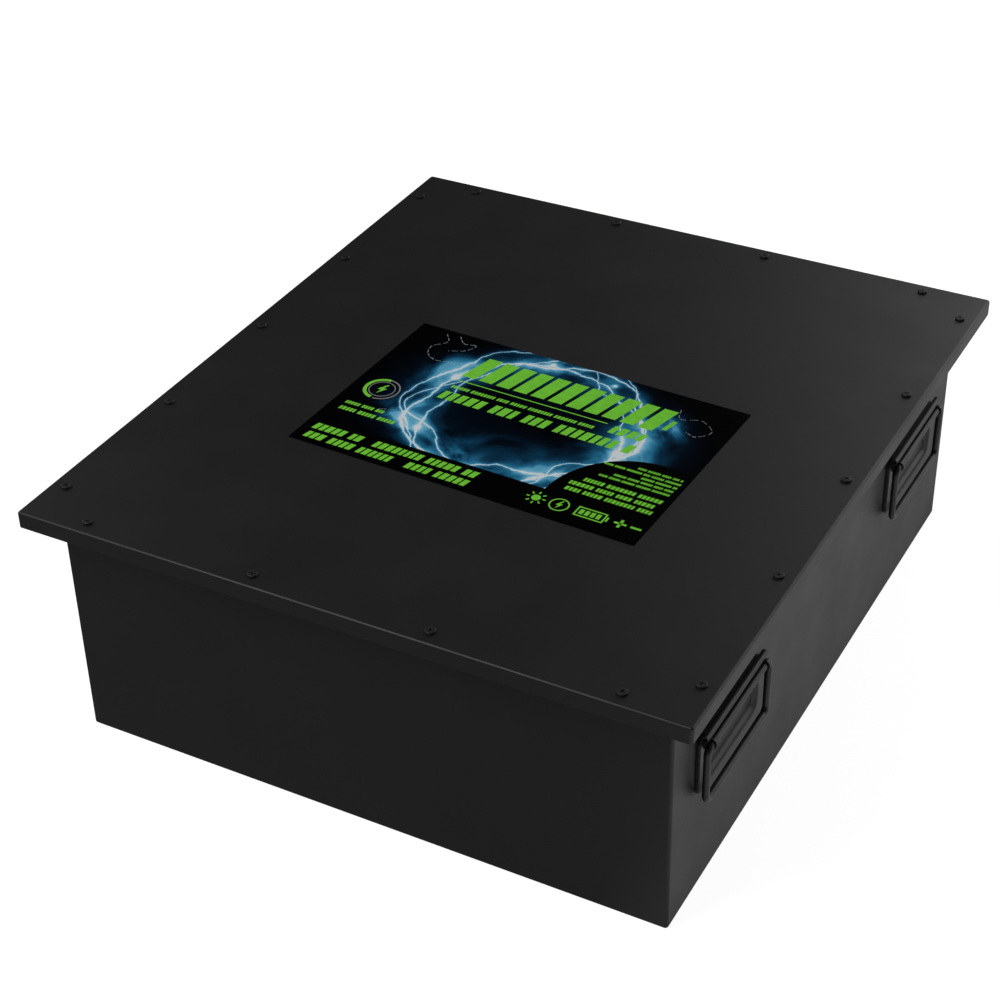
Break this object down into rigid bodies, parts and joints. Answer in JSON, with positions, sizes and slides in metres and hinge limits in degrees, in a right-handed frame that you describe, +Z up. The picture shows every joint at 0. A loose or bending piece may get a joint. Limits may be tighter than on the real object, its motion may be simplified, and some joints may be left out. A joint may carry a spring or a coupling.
{
  "type": "battery pack",
  "caption": "Low black steel battery box with a wide screwed-on pan lid, a printed label on top and folding bail handles on both side walls.",
  "frame": {"origin": "centre of the tub's flat underside, which is the bottom centre of the whole pack", "axes": "+X to the right along the front edge, +Y from front to rear along the longest side, +Z up"},
  "size_m": [0.8, 0.915, 0.314],
  "materials": {
    "box_coat": "near-black satin powder coat with a very fine texture",
    "seal_foam": "closed-cell foam rubber",
    "label_film": "printed polyester film, semi-gloss",
    "screw_black": "black zinc-plated steel",
    "handle_enamel": "black stove enamel on bent steel",
    "laminate_sheet": "glass-epoxy laminate sheet",
    "cell_wrap": "blue insulating film over aluminium cell cans",
    "mill_aluminium": "mill finish, lightly brushed",
    "carrier_plastic": "moulded insulating carrier with nickel-plated busbars",
    "shelf_laminate": "red-brown moulded polyester laminate",
    "fuse_ceramic": "glazed ceramic barrel with plated caps",
    "relay_plastic": "black glass-filled moulding",
    "shunt_alloy": "brass blocks with resistance-alloy strips",
    "busbar_copper": "bare copper strap",
    "cable_orange": "orange silicone cable jacket with tinned lugs",
    "cable_black": "black silicone cable jacket with tinned lugs",
    "socket_orange": "orange glass-filled moulding",
    "socket_black": "black glass-filled moulding",
    "nickel_plate": "dull nickel plate"
  },
  "bodies": {
    "box": {"tub": "box_coat", "handle_plate_front_right": "handle_enamel", "handle_screw_front_right_a": "screw_black", "handle_screw_front_right_b": "screw_black", "handle_plate_rear_right": "handle_enamel", "handle_screw_rear_right_a": "screw_black", "handle_screw_rear_right_b": "screw_black", "handle_plate_front_left": "handle_enamel", "handle_screw_front_left_a": "screw_black", "handle_screw_front_left_b": "screw_black", "handle_plate_rear_left": "handle_enamel", "handle_screw_rear_left_a": "screw_black", "handle_screw_rear_left_b": "screw_black", "floor_sheet": "laminate_sheet", "cell_row_1": "cell_wrap", "cell_row_2": "cell_wrap", "cell_row_3": "cell_wrap", "cell_row_4": "cell_wrap", "end_plate_front": "mill_aluminium", "end_plate_rear": "mill_aluminium", "management_unit": "mill_aluminium", "busbar_carrier": "carrier_plastic", "electronics_shelf": "shelf_laminate", "main_fuse": "fuse_ceramic", "contactor": "relay_plastic", "current_shunt": "shunt_alloy", "positive_riser": "busbar_copper", "negative_riser": "busbar_copper", "positive_cable": "cable_orange", "negative_cable": "cable_black", "positive_socket": "socket_orange", "negative_socket": "socket_black", "vent_valve": "socket_black", "comms_socket": "nickel_plate", "earth_stud": "nickel_plate"},
    "lid_assembly": {"lid": "box_coat", "lid_gasket": "seal_foam", "lid_label": "label_film", "lid_screw_front_1": "screw_black", "lid_screw_front_2": "screw_black", "lid_screw_front_3": "screw_black", "lid_screw_front_4": "screw_black", "lid_screw_rear_1": "screw_black", "lid_screw_rear_2": "screw_black", "lid_screw_rear_3": "screw_black", "lid_screw_rear_4": "screw_black", "lid_screw_left_1": "screw_black", "lid_screw_left_2": "screw_black", "lid_screw_left_3": "screw_black", "lid_screw_left_4": "screw_black", "lid_screw_left_5": "screw_black", "lid_screw_right_1": "screw_black", "lid_screw_right_2": "screw_black", "lid_screw_right_3": "screw_black", "lid_screw_right_4": "screw_black", "lid_screw_right_5": "screw_black"},
    "bail_front_right": {"handle_bail_front_right": "handle_enamel"},
    "bail_rear_right": {"handle_bail_rear_right": "handle_enamel"},
    "bail_front_left": {"handle_bail_front_left": "handle_enamel"},
    "bail_rear_left": {"handle_bail_rear_left": "handle_enamel"}
  },
  "joints": [
    {"name": "lid_lift", "type": "slide", "parent": "box", "child": "lid_assembly", "axis": [0, 0, 1], "range_m": [0, 0.35]},
    {"name": "bail_swing_front_right", "type": "hinge", "parent": "box", "child": "bail_front_right", "pos_m": [0.379, -0.2847, 0.2063], "axis": [0, -1, 0], "range_deg": [-3, 140]},
    {"name": "bail_swing_rear_right", "type": "hinge", "parent": "box", "child": "bail_rear_right", "pos_m": [0.379, 0.2753, 0.2063], "axis": [0, -1, 0], "range_deg": [-3, 140]},
    {"name": "bail_swing_front_left", "type": "hinge", "parent": "box", "child": "bail_front_left", "pos_m": [-0.379, -0.2847, 0.2063], "axis": [0, 1, 0], "range_deg": [-3, 140]},
    {"name": "bail_swing_rear_left", "type": "hinge", "parent": "box", "child": "bail_rear_left", "pos_m": [-0.379, 0.2753, 0.2063], "axis": [0, 1, 0], "range_deg": [-3, 140]}
  ]
}
